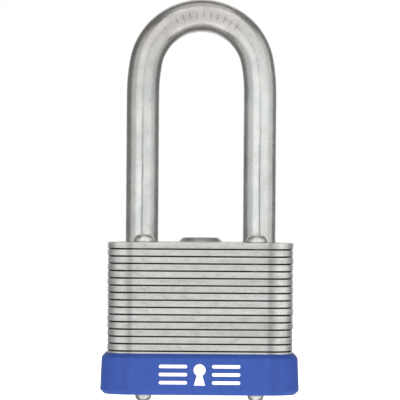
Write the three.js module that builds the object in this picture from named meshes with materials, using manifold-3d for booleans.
// A laminated steel padlock with a long shackle and a plastic bumper, closed and unlocked.
// Millimetres, +Z up, the front towards -Y. The origin is on the surface that the lock stands on,
// midway between its four rivet feet.
//
// The case is a stack of punched plates held by four rivets. Its lower two thirds hold a pin tumbler
// cylinder, whose tail turns a cam. The cam draws in two sprung bolts, which lock both legs of the
// shackle. The shackle then lifts on the spring below its heel, the left leg.
import * as THREE from 'three';
import { mergeVertices } from 'three/addons/utils/BufferGeometryUtils.js';
import Module from 'manifold-3d';

const wasm = await Module();
wasm.setup();

// ---------------------------------------------------------------- driving dimensions
// Clearances
const slip = 0.3; // round and between pieces that move
const plateGap = 0.15; // between neighbouring plates
const legClearance = 0.25; // radial, a leg in its holes
const rivetClearance = 0.2; // radial, a shank in its holes
const headGap = 0.02; // under a rivet's head
const pinClearance = 0.2; // radial, a pin in its bore
const springSeat = 0.15; // at each end of a spring
const coilClearance = 0.28; // radial, a small spring in its bore or lane
const shackleSpringClearance = 1; // radial, the shackle's spring in the heel's hole

// Shackle
const wireDiameter = 8;
const shackleClearWidth = 20.6;
const shackleClearHeight = 51.25; // from the top plate to the inside of the bend
const shoulderRadius = 45; // the gentle arcs between the legs and the crown of the bend
const shoulderAngle = THREE.MathUtils.degToRad(10);
const toeEndGap = 0.5; // below the toe, the right leg, when the shackle is down
const toeRise = 0.94; // the toe's height over the top plate when the shackle is up
const heelTip = 3; // below the groove in the heel
const legChamfer = 1.2;

// Case
const cornerRadius = 6;
const sideWall = 3.95; // between a leg's hole and the side of the case
const frontWall = 2.9; // between a rivet's hole and the front or the back of the case
const plateThickness = 1.61;
const cylinderPlateCount = 11;
const camPlateCount = 2;
const boltPlateCount = 2;
const guidePlateCount = 3;
const bossBaseRadius = 5.65;
const bossTopRadius = 4;
const bossHeight = 1.1;
const bossWall = 0.9;

// Rivets
const rivetShankRadius = 1.5;
const rivetWeb = 1.45; // between a rivet's hole and a leg's hole
const rivetInset = 0.7; // how much nearer than its leg a rivet is to the middle
const topHeadRadius = 2.6;
const topHeadHeight = 1.85;
const footRadius = 2;
const footHeight = 1.75;

// Bolts and cam
const boltTravel = 1.8;
const boltHalfWidth = 3;
const noseLength = 1.6;
const noseChamfer = 0.7;
const tabThickness = 1.5;
const camHalfWidth = 2.2;
const camGap = 0.5; // between the cam and a bolt's tab at both ends of its turn
const tongueLength = 3.2; // the plug's flat drive in the cam
const tongueWidth = 1.5;

// Cylinder
const plugRadius = 5.2;
const plugShoulder = 0.7; // the step from the plug down to its nose
const tailRadius = 2.9;
const faceInset = 0.1; // from the bottom plate's underside up to the plug's face
const cylinderWall = 1.9;
const pinRadius = 1.2;
const pinEndMargin = 2.2; // from an end of the cylinder to its nearest pin
const pinBoreWall = 1.0; // beside the pins' bores
const keyPinInset = 0.2; // from the plug's surface to the key pins' outer ends
const keyCuts = [1.3, 1.9, 1.5, 2.1, 1.3]; // from the plug's axis to each key pin's tip
const pinPoint = 0.9; // length of a key pin's cone
const driverLength = 3.2;
const pinSpringLength = 3.3;
const coverThickness = 0.8;
const keywayWidth = 2;
const keywayBelow = 3.6; // the keyway's reach from the plug's axis, away from the pins
const keywayAbove = 2.4; // and towards them
const wardDepth = 0.6;
const wardHeight = 1.1;
const keywayEndWall = 2; // above the keyway's blind end

// Springs
const pinSpringWire = 0.3;
const boltSpringWire = 0.3;
const shackleSpringWire = 0.8;
const coilPitch = 2.3; // from turn to turn, as a share of the wire's diameter, at the closest

// Bumper
const bumperHeight = 9.92;
const bumperTopWall = 1;
const bumperBottomWall = 1.3;
const bumperEdgeRadius = 0.8;
const grooveDepth = 1.6; // how much smaller the plate is that holds the bumper's rib
const groovePlate = 2; // its level, counted from the bottom plate

// How finely the round shapes are faceted
const legSides = 20;
const legHoleSides = 12;
const rivetSides = 12;
const rivetHoleSides = 6;
const plugSides = 24;
const pinSides = 10;
const cornerSteps = 4;
const bendSteps = 22;
const turnSteps = 8;
const wireSides = 4;

// ---------------------------------------------------------------- derived sizes and places
const wireRadius = wireDiameter / 2;
const legHoleRadius = wireRadius + legClearance;
const legX = shackleClearWidth / 2 + wireRadius;
const caseWidth = 2 * (legX + legHoleRadius + sideWall);

// Levels are counted from the bottom plate, level 0, to the top plate.
const platePitch = plateThickness + plateGap;
const tailLevel = 1 + cylinderPlateCount;
const camLevel = tailLevel + 1;
const boltLevel = camLevel + camPlateCount;
const guideLevel = boltLevel + boltPlateCount;
const topLevel = guideLevel + guidePlateCount;
const plateBottom = (level) => footHeight + level * platePitch;
const plateTop = (level) => plateBottom(level) + plateThickness;
const caseTop = plateTop(topLevel);

const rivetHoleRadius = rivetShankRadius + rivetClearance;
const rivetX = legX - rivetInset;
const rivetY = legHoleRadius + rivetWeb + rivetHoleRadius;
const caseDepth = 2 * (rivetY + rivetHoleRadius + frontWall);

const boltBottom = plateTop(boltLevel - 1) + slip;
const boltTop = plateBottom(guideLevel) - slip;
const noseTipX = legX - wireRadius - slip;
const noseBackX = noseTipX - noseLength;
const camHalfLength = camHalfWidth + boltTravel;
const camBottom = plateTop(tailLevel) + slip;
const camTop = boltBottom - slip;
const tabInnerX = camHalfLength + camGap;
const tabOuterX = tabInnerX + tabThickness;

const toeEnd = plateTop(tailLevel) + toeEndGap;
const shackleTravel = caseTop + toeRise - toeEnd;
const notchBottom = boltBottom - slip;
const notchTop = boltTop + slip;
const heelEnd = notchBottom - shackleTravel - heelTip;

const cylinderBottom = plateTop(0) + slip;
const cylinderTop = plateBottom(tailLevel) - slip;
const boreRadius = plugRadius + slip;
const cylinderRadius = boreRadius + cylinderWall;
const pinBoreRadius = pinRadius + pinClearance;
const chamberHalfWidth = pinBoreRadius + pinBoreWall;
const driverStart = boreRadius + slip;
const pinSpringStart = driverStart + driverLength + springSeat;
const chamberEnd = pinSpringStart + pinSpringLength + springSeat;
const coverStart = chamberEnd + slip;
const pinPitch = (cylinderTop - cylinderBottom - 2 * pinEndMargin) / (keyCuts.length - 1);
const pinHeight = (index) => cylinderBottom + pinEndMargin + index * pinPitch;

// Finishes
const zincSteel = { color: 0xb6b5b2, roughness: 0.42, metalness: 0.85 };
const shackleSteel = { color: 0xbcbebb, roughness: 0.34, metalness: 0.9 };
const springSteel = { color: 0x8c9096, roughness: 0.3, metalness: 0.95 };
const brass = { color: 0xb8975a, roughness: 0.35, metalness: 0.9 };
const zincCasting = { color: 0x9a9c9e, roughness: 0.5, metalness: 0.8 };
const blueVinyl = { color: 0x435eb6, roughness: 0.45, metalness: 0 };

// ---------------------------------------------------------------- helpers
const padlock = new THREE.Group();

/** Adds one named piece, with a material of its own. */
function addPiece(name, geometry, finish, parent = padlock) {
  const mesh = new THREE.Mesh(geometry, new THREE.MeshStandardMaterial(finish));
  mesh.name = name;
  parent.add(mesh);
  return mesh;
}

/** Turns a closed geometry into a solid that can be cut and joined. */
function toSolid(geometry) {
  const bare = geometry.clone();
  bare.deleteAttribute('normal');
  bare.deleteAttribute('uv');
  const merged = mergeVertices(bare, 1e-5);
  return new wasm.Manifold(new wasm.Mesh({
    numProp: 3,
    vertProperties: new Float32Array(merged.attributes.position.array),
    triVerts: new Uint32Array(merged.index.array),
  }));
}

function toGeometry(solid) {
  const mesh = solid.getMesh();
  const geometry = new THREE.BufferGeometry();
  geometry.setAttribute('position', new THREE.BufferAttribute(mesh.vertProperties, 3));
  geometry.setIndex(new THREE.BufferAttribute(mesh.triVerts, 1));
  geometry.computeVertexNormals();
  return geometry;
}

/** Cuts tools out of a body, all of them geometries. */
function cut(body, tools) {
  let solid = toSolid(body);
  for (const tool of tools) {
    solid = solid.subtract(toSolid(tool));
  }
  return toGeometry(solid);
}

function join(body, additions) {
  let solid = toSolid(body);
  for (const addition of additions) {
    solid = solid.add(toSolid(addition));
  }
  return toGeometry(solid);
}

/** Points on an arc in the XY plane, both ends included. */
function arc(x, y, radius, from, to, steps) {
  const points = [];
  for (let i = 0; i <= steps; i += 1) {
    const angle = THREE.MathUtils.lerp(from, to, i / steps);
    points.push(new THREE.Vector2(x + radius * Math.cos(angle), y + radius * Math.sin(angle)));
  }
  return points;
}

/** The radius that a polygon's corners need for its flats to lie at a given radius. */
function overFlats(radius, sides) {
  return radius / Math.cos(Math.PI / sides);
}

/** A round hole as a polygon that leaves the whole circle free. */
function roundHole(x, y, radius, sides) {
  const points = arc(x, y, overFlats(radius, sides), 0, 2 * Math.PI, sides);
  return new THREE.Path(points.slice(0, -1));
}

/** Extrudes an outline upwards from a height. */
function slab(outline, holes, bottom, top) {
  const shape = new THREE.Shape(outline);
  shape.holes.push(...holes);
  const geometry = new THREE.ExtrudeGeometry(shape, { depth: top - bottom, bevelEnabled: false });
  return geometry.translate(0, 0, bottom);
}

function box(x0, x1, y0, y1, z0, z1) {
  const geometry = new THREE.BoxGeometry(x1 - x0, y1 - y0, z1 - z0);
  return geometry.translate((x0 + x1) / 2, (y0 + y1) / 2, (z0 + z1) / 2);
}

/** A turned piece about the Z axis, from [radius, height] pairs that run upwards. */
function turned(profile, sides) {
  const points = profile.map(([radius, height]) => new THREE.Vector2(radius, height));
  return new THREE.LatheGeometry(points, sides).rotateX(Math.PI / 2);
}

/** The same about the X axis, for the pins. */
function turnedAlongX(profile, sides) {
  return turned(profile, sides).rotateY(Math.PI / 2);
}

/** The outline of the case, grown by an offset all round. */
function caseOutline(offset = 0) {
  const radius = cornerRadius + offset;
  const x = caseWidth / 2 + offset - radius;
  const y = caseDepth / 2 + offset - radius;
  const quarter = Math.PI / 2;
  return [
    ...arc(x, y, radius, 0, quarter, cornerSteps),
    ...arc(-x, y, radius, quarter, 2 * quarter, cornerSteps),
    ...arc(-x, -y, radius, 2 * quarter, 3 * quarter, cornerSteps),
    ...arc(x, -y, radius, 3 * quarter, 4 * quarter, cornerSteps),
  ];
}

/** A circle with a straight-sided chamber that reaches out along +X. */
function cylinderOutline(radius, halfWidth, reach) {
  const opening = Math.asin(halfWidth / radius);
  return [
    new THREE.Vector2(reach, -halfWidth),
    new THREE.Vector2(reach, halfWidth),
    ...arc(0, 0, radius, opening, 2 * Math.PI - opening, plugSides - 4),
  ];
}

class Helix extends THREE.Curve {
  constructor(radius, length, turns) {
    super();
    this.radius = radius;
    this.length = length;
    this.turns = turns;
  }

  getPoint(t, target = new THREE.Vector3()) {
    const angle = 2 * Math.PI * this.turns * t;
    const height = this.length * t;
    return target.set(this.radius * Math.cos(angle), this.radius * Math.sin(angle), height);
  }
}

/** A coil spring about +Z that just fills its length, with as many turns as have room. */
function spring(outerRadius, wire, length) {
  const turns = Math.max(1, Math.floor(length / (coilPitch * wire)));
  const path = new Helix(outerRadius - wire / 2, length - wire, turns);
  const section = new THREE.Shape(arc(0, 0, wire / 2, 0, 2 * Math.PI, wireSides).slice(0, -1));
  const geometry = new THREE.ExtrudeGeometry(section, { steps: turns * turnSteps, extrudePath: path });
  return geometry.translate(0, 0, wire / 2);
}

// ---------------------------------------------------------------- case
function rivetHoles() {
  const holes = [];
  for (const x of [-rivetX, rivetX]) {
    for (const y of [-rivetY, rivetY]) {
      holes.push(roundHole(x, y, rivetHoleRadius, rivetHoleSides));
    }
  }
  return holes;
}

const heelHole = () => roundHole(-legX, 0, legHoleRadius, legHoleSides);
const toeHole = () => roundHole(legX, 0, legHoleRadius, legHoleSides);

function cylinderHole() {
  const radius = overFlats(cylinderRadius + slip, plugSides);
  const reach = coverStart + coverThickness + slip;
  return new THREE.Path(cylinderOutline(radius, chamberHalfWidth + slip, reach));
}

/** The room in which the cam turns and the bolts' tabs travel. */
function camHole() {
  const x = tabOuterX + slip;
  const y = Math.max(boltHalfWidth, camHalfLength) + slip;
  const corners = [[-x, -y], [x, -y], [x, y], [-x, y]];
  return new THREE.Path(corners.map(([cornerX, cornerY]) => new THREE.Vector2(cornerX, cornerY)));
}

/** The bolts' channel, which runs from leg to leg and opens into both of their holes. */
function boltChannel() {
  const radius = overFlats(legHoleRadius, legHoleSides);
  const opening = Math.asin((boltHalfWidth + slip) / radius);
  return new THREE.Path([
    ...arc(-legX, 0, radius, opening, 2 * Math.PI - opening, legHoleSides - 4),
    ...arc(legX, 0, radius, opening - Math.PI, Math.PI - opening, legHoleSides - 4),
  ]);
}

function addPlate(name, level, holes) {
  const outline = caseOutline(level === groovePlate ? -grooveDepth : 0);
  const geometry = slab(outline, [...holes, ...rivetHoles()], 0, plateThickness);
  addPiece(name, geometry, zincSteel).position.z = plateBottom(level);
}

function addPlates(prefix, firstLevel, count, holes) {
  for (let i = 0; i < count; i += 1) {
    addPlate(`${prefix}_${i + 1}`, firstLevel + i, holes());
  }
}

/** The top plate has a round boss pressed up between the legs, so it is hollow below. */
function addTopPlate() {
  const flatRing = slab(caseOutline(), [heelHole(), toeHole(), ...rivetHoles()], 0, plateThickness);
  const boss = turned([
    [0, 0],
    [bossBaseRadius, 0],
    [bossBaseRadius, plateThickness],
    [bossTopRadius, plateThickness + bossHeight],
    [0, plateThickness + bossHeight],
  ], plugSides);
  const hollow = turned([
    [0, -1],
    [bossBaseRadius - bossWall, -1],
    [bossBaseRadius - bossWall, plateThickness - bossWall / 2],
    [bossTopRadius - bossWall / 2, plateThickness + bossHeight - bossWall],
    [0, plateThickness + bossHeight - bossWall],
  ], plugSides);
  const geometry = cut(join(flatRing, [boss]), [hollow]);
  addPiece('top_plate', geometry, zincSteel).position.z = plateBottom(topLevel);
}

addPlate('bottom_plate', 0, [roundHole(0, 0, plugRadius - plugShoulder + slip, plugSides)]);
addPlates('cylinder_plate', 1, cylinderPlateCount, () => [heelHole(), cylinderHole()]);
addPlate('tail_plate', tailLevel, [heelHole(), roundHole(0, 0, tailRadius + slip, plugSides)]);
addPlates('cam_plate', camLevel, camPlateCount, () => [heelHole(), toeHole(), camHole()]);
addPlates('bolt_plate', boltLevel, boltPlateCount, () => [boltChannel()]);
addPlates('guide_plate', guideLevel, guidePlateCount, () => [heelHole(), toeHole()]);
addTopPlate();

// ---------------------------------------------------------------- rivets
/** A shank with a broad domed head on the top plate and a smaller domed foot below the bottom plate. */
function rivet() {
  const dome = (radius, height, turn) => [radius * Math.cos(turn), height * Math.sin(turn)];
  const quarter = Math.PI / 2;
  const profile = [[0, 0]];
  for (const turn of [quarter * 0.7, quarter * 0.4, quarter * 0.1]) {
    const [radius, height] = dome(footRadius, footHeight - headGap, turn);
    profile.push([radius, footHeight - headGap - height]);
  }
  profile.push([footRadius, footHeight - headGap]);
  profile.push([rivetShankRadius, footHeight - headGap]);
  profile.push([rivetShankRadius, caseTop + headGap]);
  profile.push([topHeadRadius, caseTop + headGap]);
  for (const turn of [quarter * 0.1, quarter * 0.4, quarter * 0.7]) {
    const [radius, height] = dome(topHeadRadius, topHeadHeight - headGap, turn);
    profile.push([radius, caseTop + headGap + height]);
  }
  profile.push([0, caseTop + topHeadHeight]);
  return turned(profile, rivetSides);
}

for (const [depthName, y] of [['front', -rivetY], ['back', rivetY]]) {
  for (const [sideName, x] of [['left', -rivetX], ['right', rivetX]]) {
    addPiece(`rivet_${depthName}_${sideName}`, rivet(), zincSteel).position.set(x, y, 0);
  }
}

// ---------------------------------------------------------------- shackle
/**
 * The wire's centre line: up the heel, round the bend and down the toe. The bend is a crown between two
 * gentle shoulders, all three tangent. Each straight leg is one step, and the bend takes the others.
 */
class ShackleLine extends THREE.Curve {
  constructor() {
    super();
    this.steps = bendSteps + 2;
    this.shoulder = shoulderRadius * shoulderAngle;
    this.crownRadius = (legX - shoulderRadius * (1 - Math.cos(shoulderAngle))) / Math.cos(shoulderAngle);
    this.bend = 2 * this.shoulder + this.crownRadius * (Math.PI - 2 * shoulderAngle);
    this.crownZ = caseTop + shackleClearHeight + wireRadius - this.crownRadius;
    this.bendZ = this.crownZ - (shoulderRadius - this.crownRadius) * Math.sin(shoulderAngle);
  }

  /** Keeps the steps as this curve has them, instead of spacing them evenly. */
  getUtoTmapping(u) {
    return u;
  }

  /** The turn from straight up, at a distance along the bend. */
  heading(distance) {
    const fromEnd = Math.min(distance, this.bend - distance);
    const inShoulder = Math.min(fromEnd, this.shoulder);
    const turn = inShoulder / shoulderRadius + (fromEnd - inShoulder) / this.crownRadius;
    return distance === fromEnd ? turn : Math.PI - turn;
  }

  distanceAt(t) {
    const share = THREE.MathUtils.clamp((t * this.steps - 1) / bendSteps, 0, 1);
    return share * this.bend;
  }

  getPoint(t, target = new THREE.Vector3()) {
    const turn = this.heading(this.distanceAt(t));
    const side = turn > Math.PI / 2 ? 1 : -1;
    const fromVertical = Math.min(turn, Math.PI - turn);
    const legShare = Math.max(1 - t * this.steps, 1 - (1 - t) * this.steps, 0);
    if (fromVertical >= shoulderAngle) {
      const x = -this.crownRadius * Math.cos(turn);
      return target.set(x, 0, this.crownZ + this.crownRadius * Math.sin(turn));
    }
    const x = legX - shoulderRadius * (1 - Math.cos(fromVertical));
    const z = this.bendZ + shoulderRadius * Math.sin(fromVertical);
    const end = side < 0 ? heelEnd : toeEnd;
    return target.set(side * x, 0, THREE.MathUtils.lerp(z, end, legShare));
  }

  getTangent(t, target = new THREE.Vector3()) {
    const turn = this.heading(this.distanceAt(t));
    return target.set(Math.sin(turn), 0, Math.cos(turn));
  }
}

/** Takes the sharp edge off the end of a leg. */
function legChamferTool(x, end) {
  const outside = wireRadius + 1;
  const ring = turned([
    [wireRadius - legChamfer, -1],
    [outside, -1],
    [outside, legChamfer + 1],
    [wireRadius - legChamfer, 0],
    [wireRadius - legChamfer, -1],
  ], legSides);
  return ring.translate(x, 0, end);
}

/** The groove round the heel that takes its bolt when the shackle is up. */
function heelGrooveTool() {
  const neck = wireRadius - boltTravel;
  const outside = wireRadius + 1;
  const ring = turned([
    [neck, notchBottom],
    [outside, notchBottom],
    [outside, notchTop],
    [neck, notchTop],
    [neck, notchBottom],
  ], legSides);
  return ring.translate(-legX, 0, -shackleTravel);
}

function shackle() {
  const line = new ShackleLine();
  const section = new THREE.Shape(arc(0, 0, wireRadius, 0, 2 * Math.PI, legSides).slice(0, -1));
  const rod = new THREE.ExtrudeGeometry(section, { steps: line.steps, extrudePath: line });
  const notchFloor = legX - wireRadius + boltTravel;
  const inside = legX - wireRadius - 1;
  const notch = (x0, x1) => box(x0, x1, -wireRadius - 1, wireRadius + 1, notchBottom, notchTop);
  return cut(rod, [
    notch(-notchFloor, -inside),
    notch(inside, notchFloor),
    heelGrooveTool(),
    legChamferTool(-legX, heelEnd),
    legChamferTool(legX, toeEnd),
  ]);
}

addPiece('shackle', shackle(), shackleSteel);

const shackleSpringBottom = plateTop(0) + springSeat;
const shackleSpringLength = heelEnd - springSeat - shackleSpringBottom;
const shackleSpringRadius = legHoleRadius - shackleSpringClearance;
const shackleSpring = spring(shackleSpringRadius, shackleSpringWire, shackleSpringLength);
addPiece('shackle_spring', shackleSpring, springSteel).position.set(-legX, 0, shackleSpringBottom);

// ---------------------------------------------------------------- bolts
/**
 * The left bolt: a full-width nose, a half-width arm that passes the other bolt's arm and reaches beyond
 * the cam, and at its end a tab that hangs down beside the cam, which pushes it to draw the nose in.
 */
function bolt() {
  const outline = [
    [-noseTipX, -boltHalfWidth + noseChamfer],
    [-noseTipX + noseChamfer, -boltHalfWidth],
    [tabOuterX, -boltHalfWidth],
    [tabOuterX, -slip],
    [-noseBackX, -slip],
    [-noseBackX, boltHalfWidth],
    [-noseTipX + noseChamfer, boltHalfWidth],
    [-noseTipX, boltHalfWidth - noseChamfer],
  ];
  const points = outline.map(([x, y]) => new THREE.Vector2(x, y));
  const plate = slab(points, [], boltBottom, boltTop);
  const overlap = 0.5;
  const tab = box(tabInnerX, tabOuterX, -boltHalfWidth, -slip, camBottom, boltBottom + overlap);
  return join(plate, [tab]);
}

addPiece('bolt_left', bolt(), zincCasting);
addPiece('bolt_right', bolt(), zincCasting).rotation.z = Math.PI;

/** Each spring stands between the end of one bolt's arm and the back of the other bolt's nose. */
function boltSpring() {
  const length = noseBackX - tabOuterX - 2 * springSeat;
  const radius = (boltHalfWidth - slip) / 2 - coilClearance;
  const geometry = spring(radius, boltSpringWire, length).rotateY(Math.PI / 2);
  const y = -(boltHalfWidth + slip) / 2;
  return geometry.translate(tabOuterX + springSeat, y, (boltBottom + boltTop) / 2);
}

addPiece('bolt_spring_front', boltSpring(), springSteel);
addPiece('bolt_spring_back', boltSpring(), springSteel).rotation.z = Math.PI;

// ---------------------------------------------------------------- cylinder
/** A round shell with a chamber for the drivers on its right, drilled from outside. */
function cylinderBody() {
  const outline = cylinderOutline(cylinderRadius, chamberHalfWidth, chamberEnd);
  const bore = roundHole(0, 0, boreRadius, plugSides);
  const body = slab(outline, [bore], cylinderBottom, cylinderTop);
  const drill = overFlats(pinBoreRadius, pinSides);
  const bores = keyCuts.map((_, index) => turnedAlongX([
    [0, plugRadius - 1],
    [drill, plugRadius - 1],
    [drill, chamberEnd + 1],
    [0, chamberEnd + 1],
  ], pinSides).translate(0, 0, pinHeight(index)));
  return cut(body, bores);
}

addPiece('cylinder_body', cylinderBody(), brass);
const coverEnd = coverStart + coverThickness;
const cover = box(coverStart, coverEnd, -chamberHalfWidth, chamberHalfWidth, cylinderBottom, cylinderTop);
addPiece('pin_chamber_cover', cover, brass);

keyCuts.forEach((_, index) => {
  const driverEnd = driverStart + driverLength;
  const edge = pinRadius / 6;
  const driver = turnedAlongX([
    [0, driverStart],
    [pinRadius - edge, driverStart],
    [pinRadius, driverStart + edge],
    [pinRadius, driverEnd - edge],
    [pinRadius - edge, driverEnd],
    [0, driverEnd],
  ], pinSides);
  addPiece(`driver_pin_${index + 1}`, driver, brass).position.z = pinHeight(index);
  const coilRadius = pinBoreRadius - coilClearance;
  const coil = spring(coilRadius, pinSpringWire, pinSpringLength).rotateY(Math.PI / 2);
  addPiece(`pin_spring_${index + 1}`, coil, springSteel).position.set(pinSpringStart, 0, pinHeight(index));
});

// ---------------------------------------------------------------- plug, with the cam and the key pins
// The group is turned by a quarter, as a key leaves it: its +X, the pins' side, points to the back.
const turnedPlug = new THREE.Group();
turnedPlug.rotation.z = Math.PI / 2;
padlock.add(turnedPlug);

/** A slot with one ward on each side. */
function keywayOutline() {
  const half = keywayWidth / 2;
  const corners = [
    [-keywayBelow, -half],
    [-wardHeight / 2, -half],
    [-wardHeight / 2, -half + wardDepth],
    [wardHeight / 2, -half + wardDepth],
    [wardHeight / 2, -half],
    [keywayAbove, -half],
    [keywayAbove, half],
    [-keywayBelow + 2 * wardHeight, half],
    [-keywayBelow + 2 * wardHeight, half - wardDepth],
    [-keywayBelow + wardHeight, half - wardDepth],
    [-keywayBelow + wardHeight, half],
    [-keywayBelow, half],
  ];
  return corners.map(([x, y]) => new THREE.Vector2(x, y));
}

function plug() {
  const faceZ = footHeight + faceInset;
  const noseRadius = plugRadius - plugShoulder;
  const tailTop = camBottom - slip;
  const body = turned([
    [0, faceZ],
    [noseRadius, faceZ],
    [noseRadius, cylinderBottom],
    [plugRadius, cylinderBottom],
    [plugRadius, cylinderTop],
    [tailRadius, cylinderTop],
    [tailRadius, tailTop],
    [0, tailTop],
  ], plugSides);
  const tongue = box(
    -tongueWidth / 2, tongueWidth / 2, -tongueLength / 2, tongueLength / 2, cylinderTop, camTop - slip,
  );
  const keyway = slab(keywayOutline(), [], faceZ - 1, cylinderTop - keywayEndWall);
  const drill = overFlats(pinBoreRadius, pinSides);
  const bores = keyCuts.map((_, index) => turnedAlongX([
    [0, 0],
    [drill, 0],
    [drill, plugRadius + 1],
    [0, plugRadius + 1],
  ], pinSides).translate(0, 0, pinHeight(index)));
  return cut(join(body, [tongue]), [keyway, ...bores]);
}

function cam() {
  const reach = camHalfLength - camHalfWidth;
  const outline = [
    ...arc(0, reach, camHalfWidth, 0, Math.PI, pinSides / 2),
    ...arc(0, -reach, camHalfWidth, Math.PI, 2 * Math.PI, pinSides / 2),
  ];
  const x = tongueWidth / 2 + slip;
  const y = tongueLength / 2 + slip;
  const corners = [[-x, -y], [x, -y], [x, y], [-x, y]];
  const slot = new THREE.Path(corners.map(([cornerX, cornerY]) => new THREE.Vector2(cornerX, cornerY)));
  return slab(outline, [slot], camBottom, camTop);
}

addPiece('plug', plug(), brass, turnedPlug);
addPiece('cam', cam(), zincCasting, turnedPlug);

keyCuts.forEach((tip, index) => {
  const outerEnd = plugRadius - keyPinInset;
  const edge = pinRadius / 6;
  const keyPin = turnedAlongX([
    [0, tip],
    [pinRadius, tip + pinPoint],
    [pinRadius, outerEnd - edge],
    [pinRadius - edge, outerEnd],
    [0, outerEnd],
  ], pinSides);
  addPiece(`key_pin_${index + 1}`, keyPin, brass, turnedPlug).position.z = pinHeight(index);
});

// ---------------------------------------------------------------- bumper
/** A closed band round the case: a closed profile of [offset from the case, height] pairs, swept round. */
function band(profile) {
  const rings = profile.map(([offset]) => caseOutline(offset));
  const around = rings[0].length;
  const positions = [];
  const triangles = [];
  rings.forEach((ring, level) => {
    const nextLevel = (level + 1) % rings.length;
    ring.forEach((point, i) => {
      positions.push(point.x, point.y, profile[level][1]);
      const next = (i + 1) % around;
      const lower = [level * around + i, level * around + next];
      const upper = [nextLevel * around + i, nextLevel * around + next];
      triangles.push(lower[0], lower[1], upper[1]);
      triangles.push(lower[0], upper[1], upper[0]);
    });
  });
  const geometry = new THREE.BufferGeometry();
  geometry.setAttribute('position', new THREE.Float32BufferAttribute(positions, 3));
  geometry.setIndex(triangles);
  geometry.computeVertexNormals();
  return geometry;
}

/** The bumper: a tapered ring with rounded edges, held by a rib in the groove of the case. */
function bumper() {
  const bottom = plateBottom(0);
  const top = bottom + bumperHeight;
  const bottomFace = slip + bumperBottomWall;
  const topFace = slip + bumperTopWall;
  const radius = bumperEdgeRadius;
  const soft = radius * (1 - Math.SQRT1_2);
  const ribTip = slip - grooveDepth;
  return band([
    [slip, bottom],
    [bottomFace - radius, bottom],
    [bottomFace - soft, bottom + soft],
    [bottomFace, bottom + radius],
    [topFace, top - radius],
    [topFace - soft, top - soft],
    [topFace - radius, top],
    [slip, top],
    [slip, plateBottom(groovePlate + 1) - slip],
    [ribTip, plateBottom(groovePlate + 1) - slip],
    [ribTip, plateTop(groovePlate - 1) + slip],
    [slip, plateTop(groovePlate - 1) + slip],
  ]);
}

addPiece('bumper', bumper(), blueVinyl);

export default padlock;
